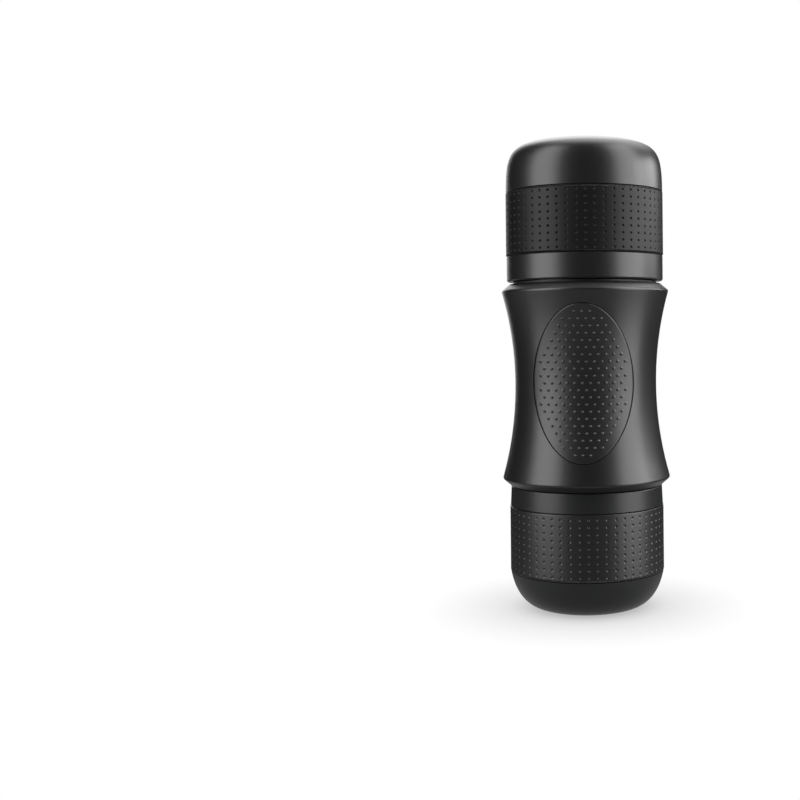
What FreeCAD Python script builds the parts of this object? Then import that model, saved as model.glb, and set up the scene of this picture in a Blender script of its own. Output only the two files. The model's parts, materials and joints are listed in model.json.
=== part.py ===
"""Handheld manual espresso maker, closed and standing on its cup.

Units are millimetres. +Z is up, and the origin is the centre of the cup's flat base. The water tank
is on top, the cup is at the bottom, the thumb pad faces -Y and the pump piston leans back towards +Y.
The pieces stack upwards from the cup's base, and the pump lies on one oblique axis through the body.
Radii step inwards from the casing's rims: bores, neck, cup, tank and outlet head all follow them.
Each piece is one function that returns its solid.
"""
import FreeCAD, Part
import math
import os

# ---- Clearances -------------------------------------------------------------------------------
gap = 0.3                     # between pieces that move past each other
seat = 0.05                   # between pieces that are fixed together
running = 0.06                # radial, a sealing ring or a pin in its bore
edge_break = 0.5              # chamfers on mouths and ends

# ---- Body casing ------------------------------------------------------------------------------
rim_radius = 31.3             # largest radius, at both rims
waist_depth = 4.9             # the waist is drawn in this far from the rims
rim_rounding = 0.9
lower_rim_height = 2.4        # chamfered foot below the lower rim
lower_rim_inset = 2.8
upper_rim_height = 2.6        # chamfered shoulder above the upper rim
upper_rim_inset = 3.0
body_wall = 2.4
rim_wall = 4.2                # from the rims in to the round seats of the chassis pieces
lower_seat_depth = 6.8        # from the lower edge to the shoulder
upper_seat_depth = 6.7        # from the upper edge to the shoulder
shoulder_above_housing = 6.3  # casing between the housing's top line and the upper rim

# ---- Thumb pad --------------------------------------------------------------------------------
pad_width = 35.5
pad_above_lower_rim = 7.9
pad_below_upper_rim = 5.2
pad_pocket = 1.2
pad_proud = 0.25
pad_groove = 0.35

# ---- Cup --------------------------------------------------------------------------------------
cup_height = 45.4
rim_gap = 0.3                 # cup rim to body
cup_foot_radius = 15.9        # flat base
bowl_bulge = 7.8              # handle of the bowl's curve along the base
bowl_belly = 1.2              # handle up the side, in from the cup's radius
cup_collar_wall = 2.0         # rim round the neck's thread
cup_rim_inset = 0.4
cup_wall = 1.9
cup_floor = 2.2
bowl_height = 13.8            # from the base to the band's lower seam
cup_band_height = 24.1
ledge_below_skirt = 1.0       # ledge inside the rim, under the outlet head's skirt
ledge_fall = 0.6
band_thickness = 1.5
band_proud = 0.1              # grip bands stand proud of the shells
seam_chamfer = 0.35

# ---- Tank and the collar it screws on ---------------------------------------------------------
tank_gap = 1.0                # open dark gap between body and tank
tank_height = 52.3
tank_ring_wall = 4.05         # plain ring round the screw mouth
tank_wall = 2.2
tank_ring_height = 9.4
tank_band_height = 23.6
crown_inset = 2.5             # handle of the dome's curve at the crown, short of the tank's radius
crown_side = 19.0             # handle up the dome's side, above the band
mouth_step = 1.8              # from the body's bore in to the tank's screw mouth
mouth_height = 8.0
thread_depth = 0.6
thread_collar_height = 9.0
thread_collar_wall = 2.7
plate_thickness = 4.0
tank_seal_width = 1.5
intake_radius = 3.6
strainer_radius = 6.5
strainer_thickness = 0.9
strainer_hole = 0.6
strainer_pitch = 2.2

# ---- Pump, along its own axis -----------------------------------------------------------------
pump_tilt = 55.0              # degrees between the pump axis and +Z
housing_reach = 54.3          # from where the axis crosses the body's to the housing's mouth
housing_radius = 16.4
housing_wall = 2.4
housing_fillet = 2.0          # where the housing grows out of the casing
stroke = 29.0
chamber_length = 10.0         # water chamber under the piston at rest
cylinder_back = 6.2           # chamber floor behind the crossing
cylinder_bore = 11.0          # radius
cylinder_wall = 1.5
cylinder_floor = 2.5
cylinder_flange = 4.0
cylinder_clearance = 3.07     # lowest corner of the cylinder to the water head
collar_length = 11.4
collar_set_in = 0.5           # guide collar below the housing's mouth
collar_slack = 0.4            # round the rod's lobes
lug_depth = 0.6               # lugs below the collar's outer face
lug_length = 1.8
lug_angle = 24.0
lobe_count = 4
groove_angle = 32.0
rod_radius = 10.6
rod_neck_radius = 9.5         # plain necks, where the lugs turn over the lobes' ends
rod_core_radius = 7.4         # floor of the grooves
piston_length = 7.0
piston_slack = 0.25
ring_width = 2.4
ring_groove = 1.6
ring_lip = 0.6
pin_radius = 4.0
pin_length = 4.5
pin_thread = 6.0              # depth of the screw hole past the pin
knob_thickness = 3.1
knob_rounding = 0.8
knob_border = 4.0
knob_dish = 0.5
spring_wire = 1.1
spring_turns = 4.0
spring_radius = 8.0

# ---- Valves, inlet and outlet alike -----------------------------------------------------------
port_radius = 1.5
port_offset = 4.2             # ports above the chamber's floor, along the pump axis
port_root = 4.0               # ports run this far into the cylinder's wall
boss_root = 6.0               # and their bosses this far
inlet_web = 1.6               # cylinder wall left under the inlet valve's pocket
outlet_web = 1.0              # water head left under the outlet valve's pocket
tube_socket = 4.0
valve_bore = 3.2
valve_radius = 2.7
valve_thickness = 1.0
valve_stem = 1.6
valve_stem_radius = 0.9
valve_room = 4.4              # from the pocket's floor to the valve's seat
boss_wall = 1.8
valve_spring_wire = 0.45
valve_spring_turns = 3.0

# ---- Brewing end ------------------------------------------------------------------------------
neck_step = 1.7               # from the casing's bore in to the neck's thread root
neck_wall = 2.0
neck_flange = 3.0
neck_reach = 4.2              # threaded neck below the casing's lower edge
neck_room = 1.2               # thread and clearance between the neck and the cup
head_end_radius = 9.6         # flat end of the outlet head
head_skirt_proud = 0.4        # skirt beyond the neck
head_skirt_lip = 1.3          # skirt beyond the dome
head_skirt_height = 2.0
head_skirt_flare = 2.4
head_height = 34.2            # from the flat end to the top of the skirt
head_dome_height = 15.0
head_bulge = 6.5              # handle of the dome's curve along the end, short of the head's radius
head_side = 8.0               # handle down the side from the dome's top
head_wall = 1.7
head_floor = 4.0
head_end_rim = 0.8
head_recess_depth = 1.2
spout_radius = 4.0
spout_bore = 1.75
spout_shoulder = 1.0
spout_set_in = 0.4
spout_length = 6.0
basket_wall = 0.7
basket_depth = 21.2
basket_flange = 1.0
basket_floor = 0.8
basket_to_hall = 1.5
gasket_thickness = 1.0
gasket_width = 2.9
water_head_flange = 2.0
shower_room = 1.5             # depth of the water space above the screen
room_lip = 2.4                # water head that the screen's edge lies on
screen_thickness = 0.8
sieve_margin = 1.9
sieve_hole = 0.7
sieve_rings = 3
screw_radius = 1.5
screw_head_radius = 2.8
screw_head_height = 1.1
screen_screw_reach = 3.0
head_screw_count = 3
head_screw_radius = 0.8
head_screw_cap = 1.2

# ---- Radii worked out from the sizes above, from the rims inwards -----------------------------
waist_radius = rim_radius - waist_depth
lower_edge_radius = rim_radius - lower_rim_inset
upper_edge_radius = rim_radius - upper_rim_inset
bore_radius = rim_radius - rim_wall
neck_radius = bore_radius - neck_step
neck_bore = neck_radius - neck_wall
cup_collar_bore = neck_radius + neck_room
cup_radius = cup_collar_bore + cup_collar_wall
cup_rim_radius = cup_radius - cup_rim_inset
cup_seat_radius = cup_radius + band_proud - band_thickness
cup_bore = cup_seat_radius - cup_wall
tank_mouth = bore_radius - mouth_step
tank_radius = tank_mouth + tank_ring_wall
tank_seat_radius = tank_radius + band_proud - band_thickness
head_skirt_radius = neck_radius + head_skirt_proud
head_radius = head_skirt_radius - head_skirt_lip
head_collar_radius = neck_bore - gap
basket_radius = head_collar_radius - head_wall - gap
screen_radius = neck_bore - gasket_width - 2 * gap
shower_room_radius = screen_radius - room_lip
sieve_pitch = (shower_room_radius - sieve_margin) / sieve_rings
head_screw_circle = neck_bore + head_screw_radius
water_head_flange_radius = head_screw_circle + 2 * head_screw_radius + gap
cylinder_radius = cylinder_bore + cylinder_wall
housing_bore = housing_radius - housing_wall
boss_radius = valve_bore + boss_wall

# ---- Levels, from the cup's base up -----------------------------------------------------------
tilt_sin = math.sin(math.radians(pump_tilt))
tilt_cos = math.cos(math.radians(pump_tilt))
body_bottom = cup_height + rim_gap
lower_rim = body_bottom + lower_rim_height
lower_shoulder = body_bottom + lower_seat_depth
water_head_top = lower_shoulder + water_head_flange
cylinder_drop = (cylinder_back + cylinder_floor) * tilt_cos + cylinder_radius * tilt_sin
crossing_level = water_head_top + cylinder_clearance + cylinder_drop
housing_rise = (waist_radius + housing_radius * tilt_cos) * tilt_cos / tilt_sin + housing_radius * tilt_sin
upper_rim = crossing_level + housing_rise + shoulder_above_housing
body_top = upper_rim + upper_rim_height
upper_shoulder = body_top - upper_seat_depth
plate_top = upper_shoulder + plate_thickness
tank_bottom = body_top + tank_gap
tank_top = tank_bottom + tank_height
cup_band_bottom = bowl_height
cup_band_top = cup_band_bottom + cup_band_height
tank_band_bottom = tank_bottom + tank_ring_height
tank_band_top = tank_band_bottom + tank_band_height
pad_bottom = lower_rim + pad_above_lower_rim
pad_top = upper_rim - pad_below_upper_rim

# Waist: one arc through both rims and the waist, with its centre outside the body.
waist_level = (lower_rim + upper_rim) / 2
half_chord = (upper_rim - lower_rim) / 2
waist_arc = (half_chord ** 2 + waist_depth ** 2) / (2 * waist_depth)
waist_centre = waist_radius + waist_arc

# Brewing end, from the neck's flange down.
neck_shoulder = lower_shoulder - neck_flange
gasket_bottom = neck_shoulder - gasket_thickness
basket_top = gasket_bottom - gap
basket_bottom = basket_top - basket_depth
head_collar_top = basket_top - basket_flange
neck_end = body_bottom - neck_reach
skirt_top = neck_end - gap
skirt_bottom = skirt_top - head_skirt_height
head_end = skirt_top - head_height
cup_ledge = skirt_bottom - ledge_below_skirt
pocket_floor = neck_shoulder + shower_room + outlet_web

# Stations along the pump axis, measured from where it crosses the body axis.
mouth = housing_reach
collar_top = mouth - collar_set_in
collar_bottom = collar_top - collar_length
chamber_floor = -cylinder_back
piston_bottom = chamber_floor + chamber_length
piston_top = piston_bottom + piston_length
rod_bottom = piston_top + gap
lug_top = collar_top - lug_depth
lug_bottom = lug_top - lug_length
neck_bottom = lug_bottom - gap
lower_neck_top = lug_top - stroke + gap
lower_neck_bottom = lug_bottom - stroke - gap
knob_bottom = mouth + gap
port_station = chamber_floor + port_offset

crossing = FreeCAD.Vector(0, 0, crossing_level)
pump_place = FreeCAD.Placement(crossing, FreeCAD.Rotation(FreeCAD.Vector(1, 0, 0), -pump_tilt))
UP = FreeCAD.Vector(0, 0, 1)


# ---- Helpers ----------------------------------------------------------------------------------
def point(radius, height):
    """A point of a profile in the XZ half plane."""
    return FreeCAD.Vector(radius, 0, height)


def turned(*steps):
    """Solid of revolution about Z. A step is (radius, height), reached by a straight edge,
    or a list of two, reached by an arc, or of three, reached by a Bezier curve."""
    pen = point(*steps[0])
    start = pen
    edges = []
    for step in list(steps[1:]) + [steps[0]]:
        if isinstance(step, list):
            nodes = [pen] + [point(*each) for each in step]
            if len(nodes) == 3:
                edges.append(Part.Arc(*nodes).toShape())
            else:
                curve = Part.BezierCurve()
                curve.setPoles(nodes)
                edges.append(curve.toShape())
            pen = nodes[-1]
        else:
            end = point(*step)
            if not end.isEqual(pen, 1e-7):
                edges.append(Part.makeLine(pen, end))
            pen = end
    if not pen.isEqual(start, 1e-7):
        edges.append(Part.makeLine(pen, start))
    face = Part.Face(Part.Wire(edges))
    return face.revolve(FreeCAD.Vector(0, 0, 0), UP, 360)


def rod(radius, bottom, top, x=0.0, y=0.0):
    """Upright cylinder between two levels."""
    return Part.makeCylinder(radius, top - bottom, FreeCAD.Vector(x, y, bottom))


def tube(outer, inner, bottom, top):
    """Upright ring between two levels."""
    return rod(outer, bottom, top).cut(rod(inner, bottom - 1, top + 1))


def chamfered_ring(outer, inner, bottom, top, chamfer):
    """Upright ring with both outer corners chamfered."""
    return turned((inner, bottom), (outer - chamfer, bottom), (outer, bottom + chamfer),
                  (outer, top - chamfer), (outer - chamfer, top), (inner, top))


def ring_sector(outer, inner, bottom, top, middle, width):
    """Part of an upright ring, centred on an angle in degrees."""
    pie = Part.makeCylinder(outer, top - bottom, FreeCAD.Vector(0, 0, bottom), UP, width)
    pie = pie.cut(rod(inner, bottom - 1, top + 1))
    pie.rotate(FreeCAD.Vector(0, 0, 0), UP, middle - width / 2)
    return pie


def around(count, radius):
    """Evenly spaced places on a circle, as (x, y)."""
    turns = [2 * math.pi * index / count for index in range(count)]
    return [(radius * math.cos(turn), radius * math.sin(turn)) for turn in turns]


def sieve(disc, rings, pitch, hole, bottom, top, skip_centre):
    """Drill rings of holes, six more in each ring, through a disc."""
    places = [] if skip_centre else [(0.0, 0.0)]
    for ring in range(1, rings + 1):
        places += around(6 * ring, ring * pitch)
    drills = [rod(hole, bottom - 1, top + 1, x, y) for x, y in places]
    return disc.cut(Part.makeCompound(drills))


def coil(radius, wire, bottom, top, turns):
    """Helical spring that fills the room between two levels: a ruled loft through six-sided wire
    sections, sixteen to a turn, each square to the helix."""
    steps = 16
    sides = 6
    count = round(turns * steps)
    rise = top - bottom - wire
    lean = math.atan(rise / turns / (2 * math.pi * radius))
    sections = []
    for index in range(count + 1):
        turn = FreeCAD.Rotation(UP, 360 * index / steps)
        centre = FreeCAD.Vector(radius, 0, bottom + wire / 2 + rise * index / count)
        corners = []
        for angle in [2 * math.pi * (side + 0.5) / sides for side in range(sides)]:
            out = wire / 2 * math.cos(angle)
            up = wire / 2 * math.sin(angle)
            offset = FreeCAD.Vector(out, -up * math.sin(lean), up * math.cos(lean))
            corners.append(turn.multVec(centre + offset))
        sections.append(Part.makePolygon(corners + corners[:1]))
    return Part.makeLoft(sections, True, True)


def on_pump_axis(shape):
    """Carry a piece modelled upright, with the crossing at height 0, onto the oblique pump axis."""
    placed = shape.copy()
    placed.Placement = pump_place.multiply(placed.Placement)
    return placed


def on_wall(side):
    """Where a port leaves the cylinder: the Y and Z of its outer wall at the port station.
    side is 1 for the upper wall and -1 for the lower wall."""
    y = port_station * tilt_sin - side * cylinder_radius * tilt_cos
    z = crossing.z + port_station * tilt_cos + side * cylinder_radius * tilt_sin
    return y, z


inlet_y, inlet_wall = on_wall(1)
outlet_y, outlet_wall = on_wall(-1)
inlet_pocket = inlet_wall + inlet_web
inlet_seat = inlet_pocket + valve_room
inlet_boss_top = inlet_seat + tube_socket
outlet_seat = pocket_floor + valve_room


# ---- Cup --------------------------------------------------------------------------------------
def cup_shell():
    """Bowl, recessed seat for the grip band, and plain collar with a ledge inside."""
    edge = edge_break
    corner = 0.3 * edge
    return turned(
        (0, 0), (cup_foot_radius, 0),
        [(cup_foot_radius + bowl_bulge, 0), (cup_radius - bowl_belly, bowl_height / 2),
         (cup_radius, bowl_height)],
        (cup_seat_radius, cup_band_bottom), (cup_seat_radius, cup_band_top),
        (cup_radius - seam_chamfer, cup_band_top), (cup_radius - band_proud, cup_band_top + seam_chamfer),
        (cup_rim_radius, cup_height - edge), [(cup_rim_radius - corner, cup_height - corner),
                                              (cup_rim_radius - edge, cup_height)],
        (cup_collar_bore + edge, cup_height), (cup_collar_bore, cup_height - edge),
        (cup_collar_bore, cup_ledge), (cup_bore, cup_ledge - ledge_fall), (cup_bore, bowl_height),
        [(cup_bore, bowl_height / 2), (cup_foot_radius + bowl_bulge - 1.3, cup_floor),
         (cup_foot_radius - 2, cup_floor)],
        (0, cup_floor))


def cup_grip_band():
    """Soft sleeve in the cup's seat."""
    return chamfered_ring(cup_radius + band_proud, cup_seat_radius + seat,
                          cup_band_bottom + seat, cup_band_top - seat, seam_chamfer)


# ---- Tank -------------------------------------------------------------------------------------
def tank_shell():
    """Domed tank with a recessed band seat and a plain ring round its screw mouth."""
    seat_bore = tank_seat_radius - tank_wall
    shoulder = tank_bottom + mouth_height
    crown = tank_radius - crown_inset
    drop = tank_top - tank_band_top
    return turned(
        (0, tank_top),
        [(crown, tank_top), (tank_radius, tank_band_top + crown_side),
         (tank_radius, tank_band_top + seam_chamfer)],
        (tank_radius - seam_chamfer, tank_band_top),
        (tank_seat_radius, tank_band_top), (tank_seat_radius, tank_band_bottom),
        (tank_radius - seam_chamfer, tank_band_bottom),
        (tank_radius - band_proud, tank_band_bottom - seam_chamfer),
        (tank_radius - band_proud, tank_bottom + edge_break), (tank_radius - edge_break, tank_bottom),
        (tank_mouth + edge_break, tank_bottom), (tank_mouth, tank_bottom + edge_break),
        (tank_mouth, shoulder), (seat_bore, shoulder + 0.6), (seat_bore, tank_band_top),
        [(seat_bore, tank_band_top + drop * 0.8), (crown - 3, tank_top - tank_wall),
         (0, tank_top - tank_wall)])


def tank_grip_band():
    """Soft sleeve in the tank's seat."""
    return chamfered_ring(tank_radius + band_proud, tank_seat_radius + seat,
                          tank_band_bottom + seat, tank_band_top - seat, seam_chamfer)


def tank_collar():
    """Plate in the body's upper end with the threaded collar that the tank screws on."""
    outer = tank_mouth - thread_depth - gap
    top = plate_top + thread_collar_height
    plate = rod(bore_radius - seat, upper_shoulder, plate_top)
    collar = turned((outer - thread_collar_wall, plate_top - 1), (outer, plate_top - 1),
                    (outer, top - edge_break), (outer - edge_break, top), (outer - thread_collar_wall, top))
    boss_bottom = upper_shoulder - tube_socket
    boss = rod(intake_radius + boss_wall, boss_bottom, upper_shoulder + 1, 0, inlet_y)
    hole = rod(intake_radius + seat, boss_bottom - 1, plate_top + 1, 0, inlet_y)
    return plate.fuse([collar, boss]).cut(hole).removeSplitter()


def tank_seal():
    """Flat silicone ring under the tank's mouth, the dark line between tank and body."""
    outer = bore_radius - gap
    return tube(outer, outer - tank_seal_width, plate_top, tank_bottom - gap)


def intake_strainer():
    """Perforated cap over the intake in the floor of the tank."""
    top = plate_top + strainer_thickness
    disc = rod(strainer_radius, plate_top, top)
    disc = sieve(disc, 1, strainer_pitch, strainer_hole, plate_top, top, False)
    disc.translate(FreeCAD.Vector(0, inlet_y, 0))
    return disc


def intake_tube():
    """Tube from the tank's floor down to the inlet valve, whose seat is its lower end."""
    outer = rod(intake_radius, inlet_seat, plate_top, 0, inlet_y)
    return outer.cut(rod(port_radius, inlet_seat - 1, plate_top + 1, 0, inlet_y))


# ---- Body -------------------------------------------------------------------------------------
def waist_solid(offset, bottom, top):
    """Solid hourglass between two levels, its surface moved out by offset."""
    arc = waist_arc - offset

    def radius_at(height):
        return waist_centre - math.sqrt(arc ** 2 - (height - waist_level) ** 2)

    return turned((0, bottom), (radius_at(bottom), bottom),
                  [(waist_centre - arc, waist_level), (radius_at(top), top)], (0, top))


def pad_prism(margin):
    """Oval column along -Y that cuts the thumb pad or its pocket out of the body's front."""
    half_height = (pad_top - pad_bottom) / 2
    oval = Part.Ellipse(FreeCAD.Vector(0, 0, 0), half_height + margin, pad_width / 2 + margin)
    face = Part.Face(Part.Wire(oval.toShape()))
    face.rotate(FreeCAD.Vector(0, 0, 0), UP, 90)
    face.rotate(FreeCAD.Vector(0, 0, 0), FreeCAD.Vector(1, 0, 0), 90)
    face.translate(FreeCAD.Vector(0, 0, pad_bottom + half_height))
    return face.extrude(FreeCAD.Vector(0, -1.5 * rim_radius, 0))


def rim_edges(shape, levels):
    """The round edges of the casing that lie at the given levels."""
    found = []
    for edge in shape.Edges:
        box = edge.BoundBox
        if box.ZLength < 1e-6 and box.XLength > waist_radius:
            if any(abs(box.ZMin - level) < 1e-4 for level in levels):
                found.append(edge)
    return found


def junction_edges(shape):
    """The edges where the pump housing meets the hourglass."""
    found = []
    for edge in shape.Edges:
        kinds = {type(face.Surface) for face in shape.ancestorsOfType(edge, Part.Face)}
        if kinds == {Part.Cylinder, Part.Toroid} and edge.BoundBox.YMin > 0 and edge.BoundBox.ZLength > 1:
            found.append(edge)
    return found


def body_shell():
    """Hourglass casing and oblique pump housing, one moulding."""
    casing = waist_solid(0, lower_rim, upper_rim)
    foot = turned((0, body_bottom), (lower_edge_radius, body_bottom), (rim_radius, lower_rim),
                  (0, lower_rim))
    shoulder = turned((0, upper_rim), (rim_radius, upper_rim), (upper_edge_radius, body_top), (0, body_top))
    casing = casing.fuse([foot, shoulder]).removeSplitter()
    casing = casing.makeFillet(rim_rounding, rim_edges(casing, [lower_rim, upper_rim]))
    housing = Part.makeCylinder(housing_radius, mouth)
    housing_edges = [edge for edge in housing.Edges if edge.BoundBox.ZMin > mouth - 0.1]
    housing = housing.makeFillet(edge_break, housing_edges)
    casing = casing.fuse(on_pump_axis(housing)).removeSplitter()
    casing = casing.makeFillet(housing_fillet, junction_edges(casing))
    cavity = waist_solid(-body_wall, lower_shoulder, upper_shoulder)
    lower_seat = rod(bore_radius, body_bottom - 1, lower_shoulder)
    upper_seat = rod(bore_radius, upper_shoulder, body_top + 1)
    housing_hole = on_pump_axis(rod(housing_bore, 0, mouth + 1))
    pocket = pad_prism(pad_groove).cut(waist_solid(-pad_pocket, lower_rim, upper_rim))
    return casing.cut([cavity, lower_seat, upper_seat, housing_hole, pocket]).removeSplitter()


def grip_pad():
    """Oval thumb pad, curved like the casing and a little proud of it."""
    skin = waist_solid(pad_proud, lower_rim, upper_rim)
    core = waist_solid(seat - pad_pocket, lower_rim, upper_rim)
    return skin.common(pad_prism(0)).cut(core)


# ---- Pump -------------------------------------------------------------------------------------
def pump_cylinder():
    """Oblique cylinder with upright bosses for the inlet above and the outlet below."""
    bottom = chamber_floor - cylinder_floor
    top = collar_bottom
    barrel = rod(cylinder_radius, bottom, top).fuse(rod(housing_bore - seat, top - cylinder_flange, top))
    inlet_boss = rod(boss_radius, inlet_wall - boss_root, inlet_boss_top, 0, inlet_y)
    outlet_boss = rod(boss_radius, water_head_top, outlet_wall + boss_root, 0, outlet_y)
    shape = on_pump_axis(barrel).fuse([inlet_boss, outlet_boss])
    bore = on_pump_axis(rod(cylinder_bore, chamber_floor, top + 1))
    cuts = [bore,
            rod(port_radius, inlet_wall - port_root, inlet_pocket + 1, 0, inlet_y),
            rod(valve_bore, inlet_pocket, inlet_seat, 0, inlet_y),
            rod(intake_radius + seat, inlet_seat, inlet_boss_top + 1, 0, inlet_y),
            rod(port_radius, outlet_seat - 1, outlet_wall + boss_root, 0, outlet_y),
            rod(valve_bore, water_head_top - 1, outlet_seat, 0, outlet_y)]
    return shape.cut(cuts).removeSplitter()


def guide_collar():
    """Ring in the housing's mouth whose lugs run in the rod's grooves and lock under its lobes."""
    bore = rod_radius + collar_slack
    outer = housing_bore - seat
    ring = turned((bore, collar_bottom), (outer, collar_bottom), (outer, collar_top),
                  (bore + edge_break, collar_top), (bore, collar_top - edge_break))
    lugs = []
    for index in range(lobe_count):
        lugs.append(ring_sector(bore + edge_break, rod_neck_radius + collar_slack, lug_bottom, lug_top,
                                360 / lobe_count * index, lug_angle))
    return on_pump_axis(ring.fuse(lugs).removeSplitter())


def piston_rod():
    """Deeply fluted rod with a step and a plain neck under the knob, and another neck above its foot."""
    core = rod(rod_core_radius, rod_bottom, knob_bottom)
    necks = [rod(rod_neck_radius, rod_bottom, lower_neck_top), rod(rod_neck_radius, neck_bottom, knob_bottom)]
    step = rod(rod_radius - gap, lug_top + gap, knob_bottom)
    foot = rod(rod_radius, rod_bottom, lower_neck_bottom)
    lobes = chamfered_ring(rod_radius, rod_core_radius - 1, lower_neck_top, neck_bottom, edge_break)
    for index in range(lobe_count):
        lobes = lobes.cut(ring_sector(rod_radius + 1, rod_core_radius, lower_neck_top - 1, neck_bottom + 1,
                                      360 / lobe_count * index, groove_angle))
    pin = rod(pin_radius, rod_bottom - pin_length, rod_bottom)
    hole = rod(screw_radius, rod_bottom - pin_length - 1, rod_bottom + pin_thread)
    return on_pump_axis(core.fuse(necks + [step, foot, lobes, pin]).cut(hole).removeSplitter())


def piston_knob():
    """Thin round knob as wide as the housing, slightly dished."""
    top = knob_bottom + knob_thickness
    r = knob_rounding
    return on_pump_axis(turned(
        (0, knob_bottom), (housing_radius - r, knob_bottom),
        [(housing_radius - 0.3 * r, knob_bottom + 0.3 * r), (housing_radius, knob_bottom + r)],
        (housing_radius, top - r),
        [(housing_radius - 0.3 * r, top - 0.3 * r), (housing_radius - r, top)],
        (housing_radius - knob_border + 2 * knob_dish, top),
        (housing_radius - knob_border, top - knob_dish), (0, top - knob_dish)))


def piston_head():
    """Piston with a groove for its ring and a bearing for the rod's pin."""
    face = cylinder_bore - piston_slack
    groove = (piston_bottom + piston_top - ring_width) / 2
    pin_bore = pin_radius + running
    pin_end = rod_bottom - pin_length - gap
    shaft = screw_radius + gap
    pocket = screw_head_radius + gap
    pocket_top = piston_bottom + screw_head_height + gap
    return on_pump_axis(turned(
        (pocket, piston_bottom), (face, piston_bottom), (face, groove),
        (face - ring_groove, groove), (face - ring_groove, groove + ring_width), (face, groove + ring_width),
        (face, piston_top), (pin_bore, piston_top), (pin_bore, pin_end),
        (shaft, pin_end), (shaft, pocket_top), (pocket, pocket_top)))


def piston_ring():
    """Sealing ring with a rounded lip that runs in the cylinder."""
    lip = cylinder_bore - running
    inner = cylinder_bore - piston_slack - ring_groove + seat
    bottom = (piston_bottom + piston_top - ring_width) / 2 + seat
    top = bottom + ring_width - 2 * seat
    return on_pump_axis(turned((inner, bottom), (lip - ring_lip, bottom),
                               [(lip, (bottom + top) / 2), (lip - ring_lip, top)], (inner, top)))


def screw(radius, length, head_radius, head_height, seat_level, x=0.0, y=0.0):
    """Upright screw under a flat pan head; the shaft points up from the head's seat."""
    shaft = rod(radius, seat_level, seat_level + length, x, y)
    return rod(head_radius, seat_level - head_height, seat_level, x, y).fuse(shaft).removeSplitter()


def piston_screw():
    """Screw that holds the piston on the turning rod."""
    seat_level = piston_bottom + screw_head_height
    length = rod_bottom + pin_thread - 1 - seat_level
    return on_pump_axis(screw(screw_radius, length, screw_head_radius, screw_head_height, seat_level))


def return_spring():
    """Coil that pushes the piston out, compressed in the chamber."""
    return on_pump_axis(coil(spring_radius, spring_wire, chamber_floor + seat, piston_bottom - gap,
                             spring_turns))


# ---- Valves -----------------------------------------------------------------------------------
def valve(seat_level, y):
    """Small disc valve with a guide stem, closed upwards against its seat."""
    top = seat_level - seat
    disc = rod(valve_radius, top - valve_thickness, top, 0, y)
    stem = rod(valve_stem_radius, top - valve_thickness - valve_stem, top, 0, y)
    return disc.fuse(stem).removeSplitter()


def valve_spring(floor_level, seat_level, y):
    """Light coil under a valve."""
    top = seat_level - valve_thickness - gap
    spring = coil(valve_radius - valve_spring_wire, valve_spring_wire, floor_level, top, valve_spring_turns)
    spring.translate(FreeCAD.Vector(0, y, 0))
    return spring


def inlet_valve():
    return valve(inlet_seat, inlet_y)


def inlet_valve_spring():
    return valve_spring(inlet_pocket, inlet_seat, inlet_y)


def outlet_valve():
    return valve(outlet_seat, outlet_y)


def outlet_valve_spring():
    return valve_spring(pocket_floor, outlet_seat, outlet_y)


# ---- Brewing end ------------------------------------------------------------------------------
def outlet_neck():
    """Threaded neck, with a flange that seats on the casing's lower shoulder."""
    return turned((neck_bore, neck_end), (neck_radius - edge_break, neck_end),
                  (neck_radius, neck_end + edge_break),
                  (neck_radius, neck_shoulder), (bore_radius - seat, neck_shoulder),
                  (bore_radius - seat, lower_shoulder), (neck_bore, lower_shoulder))


def water_head():
    """Block above the coffee with the outlet valve's pocket and the space that spreads the water."""
    plug = rod(neck_bore - seat, neck_shoulder, lower_shoulder)
    flange = rod(water_head_flange_radius, lower_shoulder, water_head_top)
    hub = screw_head_radius + 1
    room = tube(shower_room_radius, hub, neck_shoulder - 1, neck_shoulder + shower_room)
    pocket = rod(valve_bore, pocket_floor, water_head_top + 1, 0, outlet_y)
    drain = rod(port_radius / 2, neck_shoulder, pocket_floor + 1, 0, outlet_y)
    centre = rod(screw_radius, neck_shoulder - 1, neck_shoulder + screen_screw_reach + gap)
    cuts = [room, pocket, drain, centre]
    for x, y in around(head_screw_count, head_screw_circle):
        cuts.append(rod(head_screw_radius, lower_shoulder - 1, water_head_top + 1, x, y))
    return plug.fuse(flange).cut(cuts).removeSplitter()


def water_head_screws():
    """Screws through the water head's flange into the neck's flange."""
    screws = []
    for x, y in around(head_screw_count, head_screw_circle):
        shaft = rod(head_screw_radius, water_head_top - water_head_flange, water_head_top, x, y)
        cap = rod(2 * head_screw_radius, water_head_top, water_head_top + head_screw_cap, x, y)
        screws.append(shaft.fuse(cap).removeSplitter())
    return Part.makeCompound(screws)


def shower_screen():
    """Perforated disc that rains the water on the coffee."""
    bottom = neck_shoulder - screen_thickness
    disc = rod(screen_radius, bottom, neck_shoulder).cut(rod(screw_radius, bottom - 1, neck_shoulder + 1))
    return sieve(disc, sieve_rings, sieve_pitch, sieve_hole, bottom, neck_shoulder, True)


def screen_screw():
    """Screw that holds the screen up against the water head."""
    return screw(screw_radius, screen_thickness + screen_screw_reach, screw_head_radius,
                 screw_head_height, neck_shoulder - screen_thickness)


def basket_gasket():
    """Silicone ring that the basket's flange seals against."""
    outer = neck_bore - seat
    return tube(outer, outer - gasket_width, gasket_bottom, neck_shoulder)


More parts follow.
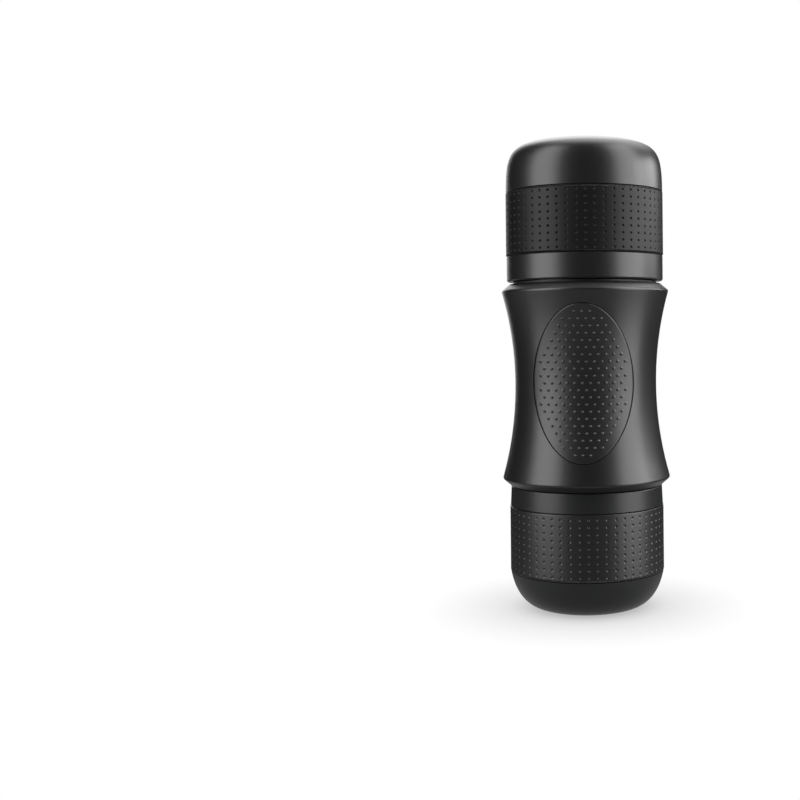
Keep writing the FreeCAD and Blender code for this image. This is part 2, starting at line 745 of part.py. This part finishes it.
def filter_basket():
    """Metal basket for the ground coffee, hung by its flange in the outlet head."""
    inner = basket_radius - basket_wall
    cup = turned((0, basket_bottom), (basket_radius - 1, basket_bottom), (basket_radius, basket_bottom + 1),
                 (basket_radius, head_collar_top), (head_collar_radius, head_collar_top),
                 (head_collar_radius, basket_top), (inner + edge_break, basket_top),
                 (inner, basket_top - edge_break),
                 (inner, basket_bottom + basket_floor), (0, basket_bottom + basket_floor))
    return sieve(cup, sieve_rings, sieve_pitch, sieve_hole, basket_bottom, basket_bottom + basket_floor,
                 False)


def outlet_head():
    """Domed head that screws into the neck, holds the basket and ends in the spout."""
    dome_top = head_end + head_dome_height
    inner = head_collar_radius - head_wall
    hall = basket_bottom - basket_to_hall
    floor = head_end + head_floor
    recess = head_end_radius - head_end_rim
    nozzle = spout_radius - spout_shoulder
    return turned(
        (nozzle, head_end + head_recess_depth), (recess, head_end + head_recess_depth),
        (recess, head_end), (head_end_radius, head_end),
        [(head_radius - head_bulge, head_end), (head_radius - 0.4, dome_top - head_side),
         (head_radius - 0.3, dome_top)],
        (head_radius, skirt_bottom - head_skirt_flare), (head_skirt_radius, skirt_bottom),
        (head_skirt_radius, skirt_top - edge_break),
        (head_skirt_radius - edge_break, skirt_top), (head_collar_radius, skirt_top),
        (head_collar_radius, head_collar_top), (inner, head_collar_top), (inner, hall),
        [(inner - 0.3, hall - head_side), (inner - head_side, floor + 1), (nozzle + 1, floor)],
        (nozzle, floor))


def spout():
    """Small nozzle pressed into the middle of the outlet head."""
    low = head_end + spout_set_in
    flange = head_end + head_recess_depth
    nozzle = spout_radius - spout_shoulder
    top = low + spout_length
    return turned((spout_bore, low), (spout_radius - edge_break, low), (spout_radius, low + edge_break),
                  (spout_radius, flange), (nozzle, flange), (nozzle, top), (spout_bore, top))


pieces = [cup_shell, cup_grip_band, tank_shell, tank_grip_band, tank_collar, tank_seal, intake_strainer,
          intake_tube, body_shell, grip_pad, pump_cylinder, guide_collar, piston_rod, piston_knob,
          piston_head, piston_ring, piston_screw, return_spring, inlet_valve, inlet_valve_spring,
          outlet_valve, outlet_valve_spring, outlet_neck, water_head, water_head_screws, shower_screen,
          screen_screw, basket_gasket, filter_basket, outlet_head, spout]

os.makedirs("parts", exist_ok=True)
for piece in pieces:
    shape = piece()
    print(piece.__name__, len(shape.Solids), shape.isValid(), round(shape.Volume, 1))
    shape.exportStep("parts/" + piece.__name__ + ".step")
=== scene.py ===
"""Looks of the handheld espresso maker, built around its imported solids.

Every piece is in metres in the object's own frame: +Z up, origin at the centre of the cup's base,
thumb pad towards -Y, pump piston towards +Y. Sizes of the object and of the camera's place are
written in millimetres and times MM, and those of the floor and the lamps in metres.
"""
import json
import math
import bmesh
import bpy
import numpy as np
from mathutils import Euler, Matrix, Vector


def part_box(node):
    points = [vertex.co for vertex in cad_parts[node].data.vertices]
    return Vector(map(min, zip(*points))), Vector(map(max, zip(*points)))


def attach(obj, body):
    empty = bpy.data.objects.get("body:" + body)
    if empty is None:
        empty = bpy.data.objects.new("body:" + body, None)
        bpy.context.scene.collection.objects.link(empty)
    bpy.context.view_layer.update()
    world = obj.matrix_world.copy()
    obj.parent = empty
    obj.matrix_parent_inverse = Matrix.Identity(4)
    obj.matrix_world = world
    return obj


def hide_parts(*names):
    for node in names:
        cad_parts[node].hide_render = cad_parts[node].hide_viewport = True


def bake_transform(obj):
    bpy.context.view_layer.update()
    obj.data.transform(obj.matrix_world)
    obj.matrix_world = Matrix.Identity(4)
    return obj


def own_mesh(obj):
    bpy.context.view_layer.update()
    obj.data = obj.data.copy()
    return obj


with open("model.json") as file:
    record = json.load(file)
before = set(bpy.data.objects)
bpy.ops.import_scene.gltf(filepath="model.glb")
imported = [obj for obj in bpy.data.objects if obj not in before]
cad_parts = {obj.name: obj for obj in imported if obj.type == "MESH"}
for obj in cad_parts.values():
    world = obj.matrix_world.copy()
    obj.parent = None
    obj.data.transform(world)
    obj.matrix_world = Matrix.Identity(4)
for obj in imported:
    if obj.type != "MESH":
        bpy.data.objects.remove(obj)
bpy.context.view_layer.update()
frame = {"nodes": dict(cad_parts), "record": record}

MM = 0.001
TAU = 2 * math.pi

# ---- Grip bands, in millimetres -----------------------------------------------------------------
dimple_columns = 54
dimple_rows = 9
dimple_pitch = 2.55
dimple_radius = 0.55
tank_dimple_depth = 0.45
cup_dimple_depth = 0.28
band_wall = 1.4
band_foot = 0.35
band_brow = 0.14
band_rounding = 0.25

# ---- Thumb pad, in millimetres ------------------------------------------------------------------
bump_pitch_across = 2.75
bump_pitch_up = 2.53
bump_radius = 0.5
bump_height = 0.38
bump_border = 1.6
pad_rounding = 0.3
pad_proud = 0.25
pad_margin = 0.12
pad_depth = 1.1

# ---- Sizes that the solids' boxes don't give, in millimetres ------------------------------------
rim_radius = 31.3
waist_depth = 4.9
lower_rim_height = 2.4
upper_rim_height = 2.6
tank_gap = 1.0
neck_radius = 25.4
collar_radius = 24.4


# ---- Levels read from the solids, in millimetres ------------------------------------------------
def lowest(node):
    """Lowest level of a node, in millimetres."""
    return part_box(node)[0].z / MM


body_bottom = lowest("body_shell")
body_top = lowest("tank_shell") - tank_gap
neck_bottom = lowest("outlet_neck")
plate_top = lowest("tank_seal")


# ---- Meshes -------------------------------------------------------------------------------------
def grid_mesh(name, x, y, z, body, material, wrap_columns=True):
    """One closed mesh from a grid of points. Its rows close on themselves, and its columns do too
    unless both end columns shrink to a point or a line. Points that fall together are merged."""
    rows, columns = x.shape
    points = np.stack([x, y, z], axis=-1).reshape(-1, 3) * MM
    row = np.arange(rows)[:, None]
    column = np.arange(columns if wrap_columns else columns - 1)[None, :]
    next_row = (row + 1) % rows
    next_column = (column + 1) % columns
    corners = [row * columns + column, row * columns + next_column,
               next_row * columns + next_column, next_row * columns + column]
    faces = np.stack(corners, axis=-1).reshape(-1, 4)
    mesh = bpy.data.meshes.new(name)
    mesh.from_pydata(points.tolist(), [], faces.tolist())
    return finish_mesh(name, mesh, body, material)


def finish_mesh(name, mesh, body, material):
    """Merge points that fall together, turn the faces outwards, shade smooth and ride on a body."""
    same_place = 1e-7
    work = bmesh.new()
    work.from_mesh(mesh)
    bmesh.ops.remove_doubles(work, verts=work.verts, dist=same_place)
    bmesh.ops.recalc_face_normals(work, faces=work.faces)
    work.to_mesh(mesh)
    work.free()
    mesh.shade_smooth()
    piece = bpy.data.objects.new(name, mesh)
    bpy.context.scene.collection.objects.link(piece)
    mesh.materials.append(material)
    if body:
        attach(piece, body)
    return piece


def softened(points, radius, count=5):
    """Closed profile with every corner rounded: a corner is replaced by count points of the curve
    (1 - t)^2 * start + 2 (1 - t) t * corner + t^2 * end, whose start and end lie on the corner's two
    edges, at the given distance from it or at under half of a shorter edge."""
    edge_share = 0.45
    before = np.roll(points, 1, axis=0) - points
    after = np.roll(points, -1, axis=0) - points
    length_before = np.linalg.norm(before, axis=1)[:, None]
    length_after = np.linalg.norm(after, axis=1)[:, None]
    start = points + before / length_before * np.minimum(radius, edge_share * length_before)
    end = points + after / length_after * np.minimum(radius, edge_share * length_after)
    t = np.linspace(0, 1, count)[None, :, None]
    rounded = (1 - t) ** 2 * start[:, None] + 2 * (1 - t) * t * points[:, None] + t ** 2 * end[:, None]
    return rounded.reshape(-1, 2)


# ---- Materials ----------------------------------------------------------------------------------
def linear(colour):
    """Linear RGBA of an sRGB hex colour."""
    parts = [int(colour[i:i + 2], 16) / 255 for i in (1, 3, 5)]
    return [c / 12.92 if c <= 0.04045 else ((c + 0.055) / 1.055) ** 2.4 for c in parts] + [1.0]


def add(tree, kind, settings=None, links=None):
    """Add one node, with values for its sockets or properties and links into its sockets."""
    node = tree.nodes.new(kind)
    for key, value in (settings or {}).items():
        if isinstance(key, int) or key in node.inputs:
            node.inputs[key].default_value = value
        else:
            setattr(node, key, value)
    for key, source in (links or {}).items():
        tree.links.new(source, node.inputs[key])
    return node


def moulded(name, base, worn, roughness, grain, grain_height, rough_span=0.02, ior=1.5):
    """Moulded plastic or rubber. One noise, 20 mm wide, carries its colour from base to worn and its
    roughness from rough_span under to rough_span over. Another, grain wide and up to grain_height
    deep, both in millimetres, is the skin that the mould leaves, which breaks the highlights up a
    little. A real skin's grain is about 0.1 mm wide: this one is drawn coarser so that it shows."""
    drift_width = 20
    material = bpy.data.materials.new(name)
    material.use_nodes = True
    tree = material.node_tree
    shader = tree.nodes["Principled BSDF"]
    shader.inputs["IOR"].default_value = ior
    place = add(tree, "ShaderNodeTexCoord").outputs["Object"]
    drift = add(tree, "ShaderNodeTexNoise", {"Scale": 1 / (drift_width * MM), "Detail": 2.0},
                {"Vector": place}).outputs["Fac"]
    colour = add(tree, "ShaderNodeMix", {"data_type": "RGBA", 6: linear(base), 7: linear(worn)},
                 {"Factor": drift})
    tree.links.new(colour.outputs[2], shader.inputs["Base Color"])
    gloss = add(tree, "ShaderNodeMapRange",
                {"To Min": roughness - rough_span, "To Max": roughness + rough_span}, {"Value": drift})
    tree.links.new(gloss.outputs["Result"], shader.inputs["Roughness"])
    speck = add(tree, "ShaderNodeTexNoise", {"Scale": 1 / (grain * MM), "Detail": 2.0}, {"Vector": place})
    bump = add(tree, "ShaderNodeBump", {"Strength": 1.0, "Distance": grain_height * MM},
               {"Height": speck.outputs["Fac"]})
    tree.links.new(bump.outputs["Normal"], shader.inputs["Normal"])
    return material


def satin_abs():
    """ABS moulded against a fine spark-eroded tool: charcoal, with wide soft highlights."""
    return moulded("satin_abs", "#0f0f10", "#131314", roughness=0.35, grain=0.3, grain_height=0.004)


def matt_abs():
    """The same ABS against a coarser tool, as on the cup's shell: duller and a shade paler."""
    return moulded("matt_abs", "#151516", "#191a1a", roughness=0.38, grain=0.35, grain_height=0.005, ior=1.4)


def soft_grip():
    """Soft-touch elastomer, as on the tank's band: darker and duller than the shells."""
    return moulded("soft_touch_elastomer", "#0a0a0b", "#0e0e0f", roughness=0.45, grain=0.35,
                   grain_height=0.006, ior=1.29)


def smooth_grip():
    """The same elastomer off a smoother tool, as on the thumb pad and the cup's band: its skin shines
    like the shells."""
    return moulded("soft_touch_pad", "#0f0f10", "#131314", roughness=0.38, grain=0.35, grain_height=0.006)


def black_acetal():
    """Acetal off a polished tool: nearly black and slightly glossy."""
    return moulded("black_acetal", "#090909", "#0c0c0d", roughness=0.33, grain=0.5, grain_height=0.002)


def matt_acetal():
    """Acetal off a blasted tool, as on the knob and the guide collar: black with a dull skin."""
    return moulded("matt_acetal", "#0d0d0e", "#111112", roughness=0.55, grain=0.4, grain_height=0.004,
                   ior=1.35)


def grey_nylon():
    """Moulded nylon of the inner pump parts: mid grey, with a soft broad shine."""
    return moulded("grey_nylon", "#3a3a3c", "#414143", roughness=0.4, grain=0.4, grain_height=0.004,
                   rough_span=0.03)


def silicone():
    """Moulded black silicone rubber: very dark and matt."""
    return moulded("black_silicone", "#0b0b0c", "#101011", roughness=0.55, grain=0.4, grain_height=0.004,
                   rough_span=0.03)


def stainless():
    """Stainless steel, drawn or pressed: bright grey, with streaks along Z in its colour and gloss. They
    are a noise 0.6 mm wide and twenty times as long, drawn wider than real ones so that they show."""
    streak_width = 0.6
    streak_squeeze = 0.05
    material = bpy.data.materials.new("stainless_steel")
    material.use_nodes = True
    tree = material.node_tree
    shader = tree.nodes["Principled BSDF"]
    shader.inputs["Metallic"].default_value = 1.0
    place = add(tree, "ShaderNodeTexCoord").outputs["Object"]
    stretch = add(tree, "ShaderNodeMapping", {"Scale": (1.0, 1.0, streak_squeeze)}, {"Vector": place})
    streak = add(tree, "ShaderNodeTexNoise", {"Scale": 1 / (streak_width * MM), "Detail": 3.0},
                 {"Vector": stretch.outputs["Vector"]}).outputs["Fac"]
    colour = add(tree, "ShaderNodeMix", {"data_type": "RGBA", 6: linear("#b4b2ae"), 7: linear("#c8c6c2")},
                 {"Factor": streak})
    tree.links.new(colour.outputs[2], shader.inputs["Base Color"])
    gloss = add(tree, "ShaderNodeMapRange", {"To Min": 0.24, "To Max": 0.36}, {"Value": streak})
    tree.links.new(gloss.outputs["Result"], shader.inputs["Roughness"])
    return material


# The record's material slots, each with its finish, and three variants: matt_abs, smooth_grip and
# matt_acetal. own_finish names the solids that take a variant.
finishes = {
    "satin_abs": satin_abs(),
    "matt_abs": matt_abs(),
    "soft_grip": soft_grip(),
    "smooth_grip": smooth_grip(),
    "black_acetal": black_acetal(),
    "matt_acetal": matt_acetal(),
    "grey_nylon": grey_nylon(),
    "silicone": silicone(),
    "steel": stainless(),
}
own_finish = {"cup_shell": "matt_abs", "piston_knob": "matt_acetal", "guide_collar": "matt_acetal"}


def dress_solids():
    """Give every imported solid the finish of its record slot, or its own variant of that finish."""
    for entry in frame["record"]["subparts"]:
        mesh = frame["nodes"][entry["node"]].data
        mesh.materials.clear()
        mesh.materials.append(finishes[own_finish.get(entry["node"], entry["material_slot"])])


# ---- Grip bands and thumb pad -------------------------------------------------------------------
def grip_band(name, node, body, dimple_depth, finish):
    """Sleeve with a square grid of dimples: a profile of a rounded foot, a straight wall and a crisper
    brow, turned about Z. Within dimple_radius of a dimple's centre the wall's radius falls by
    dimple_depth * (1 + cos(pi * distance / dimple_radius)) / 2. The grid's lines stand at shares of a
    pitch from each centre, so that they crowd together across the dimples."""
    turn_shares = np.array([-0.5, -0.34, -0.19, -0.15, -0.11, -0.055, 0.0, 0.055, 0.11, 0.15, 0.19, 0.34])
    rise_shares = np.array([-0.5, -0.36, -0.24, -0.18, -0.12, -0.06, 0.0, 0.06, 0.12, 0.18, 0.24, 0.36])
    wall_tolerance = 0.01
    low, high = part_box(node)
    radius = high.x / MM
    bottom = low.z / MM
    top = high.z / MM
    inner = radius - band_wall
    edge = softened(np.array([(inner, bottom), (radius - band_foot, bottom), (radius, bottom + band_foot),
                              (radius, top - band_brow), (radius - band_brow, top), (inner, top)]),
                    band_rounding)
    foot, brow = np.split(edge, 2)
    row_centres = (bottom + top) / 2 + (np.arange(dimple_rows) - (dimple_rows - 1) / 2) * dimple_pitch
    wall = (row_centres[:, None] + rise_shares * dimple_pitch).reshape(-1)
    wall = np.append(wall, row_centres[-1] + 0.5 * dimple_pitch)
    profile = np.concatenate([foot, np.stack([np.full(wall.size, radius), wall], axis=1), brow])
    turn = (np.arange(dimple_columns)[:, None] + turn_shares).reshape(1, -1) / dimple_columns * TAU
    column = (turn / TAU * dimple_columns) % 1.0
    across = np.minimum(column, 1 - column) * TAU * radius / dimple_columns
    up = np.abs(profile[:, 1:] - row_centres).min(axis=1, keepdims=True)
    bowl = 0.5 + 0.5 * np.cos(np.pi * np.clip(np.hypot(across, up) / dimple_radius, 0, 1))
    on_wall = profile[:, :1] > radius - wall_tolerance
    radii = profile[:, :1] - dimple_depth * bowl * on_wall
    heights = np.broadcast_to(profile[:, 1:], radii.shape)
    band = grid_mesh(name, radii * np.cos(turn), radii * np.sin(turn), heights, body, finishes[finish])
    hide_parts(node)


def waist_radius_at(level, lift):
    """Radius of the hourglass at a level, moved out by lift: one arc through both rims and the waist.
    Its centre lies outside the body, so the radius is arc_centre less the root of
    (arc_radius - lift)^2 - (height over the waist)^2."""
    lower_rim = body_bottom + lower_rim_height
    upper_rim = body_top - upper_rim_height
    half_chord = (upper_rim - lower_rim) / 2
    arc_radius = (half_chord ** 2 + waist_depth ** 2) / (2 * waist_depth)
    arc_centre = rim_radius - waist_depth + arc_radius
    return arc_centre - np.sqrt((arc_radius - lift) ** 2 - (level - (lower_rim + upper_rim) / 2) ** 2)


def thumb_pad():
    """Oval pad that follows the hourglass, with staggered round bumps. A row of the grid is a share of
    the oval's width and a column an angle round it: x = half_width * share * sin(turn) and
    z = centre - half_height * cos(turn). The front's lift is pad_proud, plus
    bump_height * (1 + cos(pi * distance / bump_radius)) / 2 at a bump, less a quarter round of
    pad_rounding at the border. The rows go on round the edge to a plain back."""
    columns = 441
    front_rows = 185
    back_rows = 15
    low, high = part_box("grip_pad")
    half_width = (high.x - low.x) / 2 / MM + pad_margin
    half_height = (high.z - low.z) / 2 / MM + pad_margin
    centre = (high.z + low.z) / 2 / MM
    turn = np.linspace(0, math.pi, columns)[None, :]
    front = np.linspace(-1, 1, front_rows)[:, None]
    back = np.linspace(1, -1, back_rows)[:, None]
    share = np.concatenate([front, back])
    x = half_width * share * np.sin(turn)
    z = centre - half_height * np.cos(turn) + 0 * share
    row = np.round((z - centre) / bump_pitch_up)
    shift = np.where(row % 2 == 0, 0.0, bump_pitch_across / 2)
    bump_x = np.round((x - shift) / bump_pitch_across) * bump_pitch_across + shift
    bump_z = row * bump_pitch_up
    distance = np.hypot(x - bump_x, z - centre - bump_z)
    dome = 0.5 + 0.5 * np.cos(np.pi * np.clip(distance / bump_radius, 0, 1))
    inside = np.hypot(bump_x / (half_width - bump_border), bump_z / (half_height - bump_border)) < 1
    border = (1 - np.hypot(x / half_width, (z - centre) / half_height)) * half_width
    fall = np.clip(1 - border / pad_rounding, 0, 1)
    lift = pad_proud + bump_height * dome * inside - pad_rounding * (1 - np.sqrt(1 - fall ** 2))
    lift[front_rows:] = -pad_depth
    y = -np.sqrt(waist_radius_at(z, lift) ** 2 - x ** 2)
    pad = grid_mesh("thumb_pad_bumps", x, y, z, "body", finishes["smooth_grip"], wrap_columns=False)
    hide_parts("grip_pad")


# ---- Screw threads ------------------------------------------------------------------------------
def thread(name, root, depth, pitch, bottom, turns):
    """Ridge on a plain cylinder of radius root: a section carried up a helix of the given pitch. Over
    the section, across goes from -1 to 1 and the radius is
    root - sunk + (depth + sunk) * cos(across * pi / 2) ^ crest_power, closed by one point under its
    middle. Over the first and last run_out of a turn it swells from nothing as a quarter sine."""
    steps_per_turn = 96
    section_points = 9
    crest_power = 0.8
    half_width = 0.36 * pitch
    sunk = 0.15
    foot_depth = 0.1
    run_out = 0.12
    along = np.linspace(0, turns, round(turns * steps_per_turn) + 1)[None, :]
    swell = np.sin(np.clip(np.minimum(along, turns - along) / run_out, 0, 1) * math.pi / 2)
    across = np.linspace(-1, 1, section_points)[:, None]
    crest = np.cos(across * math.pi / 2) ** crest_power
    reach = np.concatenate([root - sunk + (depth + sunk) * crest * swell, root - sunk - foot_depth * swell])
    width = half_width * np.concatenate([across, np.zeros((1, 1))])
    angle = TAU * along
    level = bottom + pitch * along + width * swell
    ridge = grid_mesh(name, reach * np.cos(angle), reach * np.sin(angle), level, "body",
                      finishes["black_acetal"], wrap_columns=False)


# ---- Springs ------------------------------------------------------------------------------------
def spring_copy(name, node, body):
    """Copy of an imported spring, in steel, in place of the spring itself."""
    mesh = frame["nodes"][node].data.copy()
    mesh.materials.clear()
    spring = finish_mesh(name, mesh, body, finishes["steel"])
    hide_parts(node)
    return spring


def valve_spring(name, node):
    """Coil under a valve: a copy of the spring, with a mesh of its own."""
    spring = spring_copy(name, node, "body")
    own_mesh(spring)


def return_spring():
    """Coil under the piston: a copy of the spring, with its placement baked into its points."""
    spring = spring_copy("return_spring_coil", "return_spring", None)
    points = np.empty(3 * len(spring.data.vertices))
    spring.data.vertices.foreach_get("co", points)
    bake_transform(spring)


dress_solids()
grip_band("tank_band_dimpled", "tank_grip_band", "tank", tank_dimple_depth, "soft_grip")
grip_band("cup_band_dimpled", "cup_grip_band", "cup", cup_dimple_depth, "smooth_grip")
thumb_pad()
valve_spring("inlet_spring_coil", "inlet_valve_spring")
valve_spring("outlet_spring_coil", "outlet_valve_spring")
return_spring()
thread("neck_thread_1", neck_radius, depth=0.75, pitch=2.2, bottom=neck_bottom + 0.9, turns=1.15)
thread("tank_collar_thread_1", collar_radius, depth=0.6, pitch=3.0, bottom=plate_top + 1.6, turns=1.6)


# ---- Floor, light and camera --------------------------------------------------------------------
def studio():
    """White paper under and behind the object, in a dark room with four soft boxes: a tall one at each
    side, a short one high up at the right and a little behind, and a weak tall one behind."""
    bpy.context.scene.view_settings.view_transform = "Standard"
    paper_floor()
    paper_world()
    soft_box("right_box", turn=71.5, width=0.59, bottom=-0.1, top=1.42, power=15.0)
    soft_box("left_box", turn=-58, width=0.58, bottom=-0.07, top=1.42, power=13.4)
    soft_box("rim_box", turn=108, width=0.6, bottom=0.2, top=0.44, power=3.0)
    soft_box("back_box", turn=190, width=0.6, bottom=0.05, top=1.2, power=4.0)


def paper_floor():
    """Sheet that only the camera sees: clear over the white world, with a painted shadow round the object's
    foot, darker by how much of the sky the object takes there. The lamps cast no shadow on it. From below it
    is quite clear."""
    half = 3.0
    below_foot = -0.0002
    reach = 0.035
    darkest_painted_shadow = 0.45
    mesh = bpy.data.meshes.new("floor")
    corners = [(-half, -half), (half, -half), (half, half), (-half, half)]
    mesh.from_pydata([(x, y, below_foot) for x, y in corners], [], [(0, 1, 2, 3)])
    floor = bpy.data.objects.new("floor", mesh)
    bpy.context.scene.collection.objects.link(floor)
    floor.visible_glossy = False
    floor.visible_diffuse = False
    floor.visible_transmission = False
    floor.visible_shadow = False
    paper = bpy.data.materials.new("white_paper_painted_shadow")
    paper.use_nodes = True
    tree = paper.node_tree
    tree.nodes.clear()
    # Painted shadow: the sheet's colour darkens where the object hides the sky within reach (ambient
    # occlusion); it is no cast shadow.
    open_sky = add(tree, "ShaderNodeAmbientOcclusion", {"samples": 16, "Distance": reach}).outputs["AO"]
    shade = add(tree, "ShaderNodeMapRange", {"To Min": darkest_painted_shadow, "To Max": 1.0}, {"Value": open_sky})
    below = add(tree, "ShaderNodeNewGeometry").outputs["Backfacing"]
    painted_shadow_tone = add(tree, "ShaderNodeMath", {"operation": "MAXIMUM"}, {0: shade.outputs[0], 1: below})
    clear = add(tree, "ShaderNodeBsdfTransparent", None, {"Color": painted_shadow_tone.outputs[0]})
    add(tree, "ShaderNodeOutputMaterial", None, {"Surface": clear.outputs[0]})
    mesh.materials.append(paper)


def paper_world():
    """White to the camera and through clear things. Reflections meet a panel that slopes over the
    object from behind and brightens upwards, a grey table below, and elsewhere a dark room. The panel
    is the product of four soft ramps, and the table is one. Each ramp runs over a component of the
    ray's direction, from its first value, where it is nothing, to its second, where it is full."""
    right_ramp = (1.0, 0.55)
    left_ramp = (-0.6, -0.1)
    near_ramp = (-0.3, 0.12)
    rise_ramp = (0.3, 0.9)
    table_ramp = (-0.15, -0.42)
    panel_glow = 4.0
    room_glow = 0.02
    table_glow = 0.46
    dull_glow = 0.15
    world = bpy.data.worlds.new("studio")
    world.use_nodes = True
    bpy.context.scene.world = world
    tree = world.node_tree
    tree.nodes.clear()
    path = add(tree, "ShaderNodeLightPath").outputs
    ray = add(tree, "ShaderNodeTexCoord").outputs["Generated"]
    part = add(tree, "ShaderNodeSeparateXYZ", None, {0: ray}).outputs
    soft = {"interpolation_type": "SMOOTHSTEP"}
    right = add(tree, "ShaderNodeMapRange", {**soft, "From Min": right_ramp[0], "From Max": right_ramp[1]},
                {"Value": part["X"]})
    left = add(tree, "ShaderNodeMapRange", {**soft, "From Min": left_ramp[0], "From Max": left_ramp[1]},
               {"Value": part["X"]})
    wide = add(tree, "ShaderNodeMath", {"operation": "MULTIPLY"}, {0: right.outputs[0], 1: left.outputs[0]})
    behind = add(tree, "ShaderNodeMapRange", {**soft, "From Min": near_ramp[0], "From Max": near_ramp[1]},
                 {"Value": part["Y"]})
    above = add(tree, "ShaderNodeMapRange", {**soft, "From Min": rise_ramp[0], "From Max": rise_ramp[1]},
                {"Value": part["Z"]})
    slope = add(tree, "ShaderNodeMath", {"operation": "MULTIPLY"},
                {0: behind.outputs[0], 1: above.outputs[0]})
    panel = add(tree, "ShaderNodeMath", {"operation": "MULTIPLY"}, {0: slope.outputs[0], 1: wide.outputs[0]})
    sheen = add(tree, "ShaderNodeMapRange", {"To Min": room_glow, "To Max": panel_glow},
                {"Value": panel.outputs[0]})
    table = add(tree, "ShaderNodeMapRange",
                {**soft, "From Min": table_ramp[0], "From Max": table_ramp[1], "To Max": table_glow},
                {"Value": part["Z"]})
    glossy = add(tree, "ShaderNodeMath", {"operation": "ADD"}, {0: sheen.outputs[0], 1: table.outputs[0]})
    room = add(tree, "ShaderNodeMix", {2: dull_glow}, {0: path["Is Glossy Ray"], 3: glossy.outputs[0]})
    clear = add(tree, "ShaderNodeMath", {"operation": "MAXIMUM"},
                {0: path["Is Camera Ray"], 1: path["Is Transmission Ray"]})
    strength = add(tree, "ShaderNodeMix", {3: 1.0}, {0: clear.outputs[0], 2: room.outputs[0]})
    white = add(tree, "ShaderNodeBackground", {"Color": linear("#ffffff")}, {"Strength": strength.outputs[0]})
    add(tree, "ShaderNodeOutputWorld", None, {"Surface": white.outputs[0]})


def soft_box(name, turn, width, bottom, top, power):
    """Upright rectangular area lamp that faces the object's axis. turn is degrees to the right of the
    camera's side, width, bottom and top are metres, and power is watts."""
    distance = 0.75
    lamp = bpy.data.lights.new(name, "AREA")
    lamp.shape = "RECTANGLE"
    lamp.size = width
    lamp.size_y = top - bottom
    lamp.energy = power
    box = bpy.data.objects.new(name, lamp)
    bpy.context.scene.collection.objects.link(box)
    box.visible_camera = False
    angle = math.radians(turn)
    box.location = (distance * math.sin(angle), -distance * math.cos(angle), (bottom + top) / 2)
    box.rotation_euler = (math.pi / 2, 0, angle)


def camera():
    """Level camera in front of the pad. The object stands to the right of the frame's middle, turned
    a little to the left, and its axis leans a trace to the left."""
    frame_width = 800
    focal_pixels = 1144
    axis_column = 585.3
    horizon_row = 333
    eye_height = 101.9
    distance = 430
    turn = math.radians(2.4)
    roll = math.radians(-0.55)
    lens = bpy.data.cameras.new("camera")
    lens.sensor_width = 36
    lens.lens = focal_pixels / frame_width * lens.sensor_width
    lens.shift_x = -(axis_column - frame_width / 2) / frame_width
    lens.shift_y = -(frame_width / 2 - horizon_row) / frame_width
    lens.clip_start = 0.01
    view = bpy.data.objects.new("camera", lens)
    bpy.context.scene.collection.objects.link(view)
    view.location = (distance * MM * math.sin(turn), -distance * MM * math.cos(turn), eye_height * MM)
    facing = Euler((math.pi / 2, 0, turn)).to_matrix()
    view.rotation_euler = (facing @ Matrix.Rotation(roll, 3, "Z")).to_euler()
    bpy.context.scene.camera = view


studio()
camera()
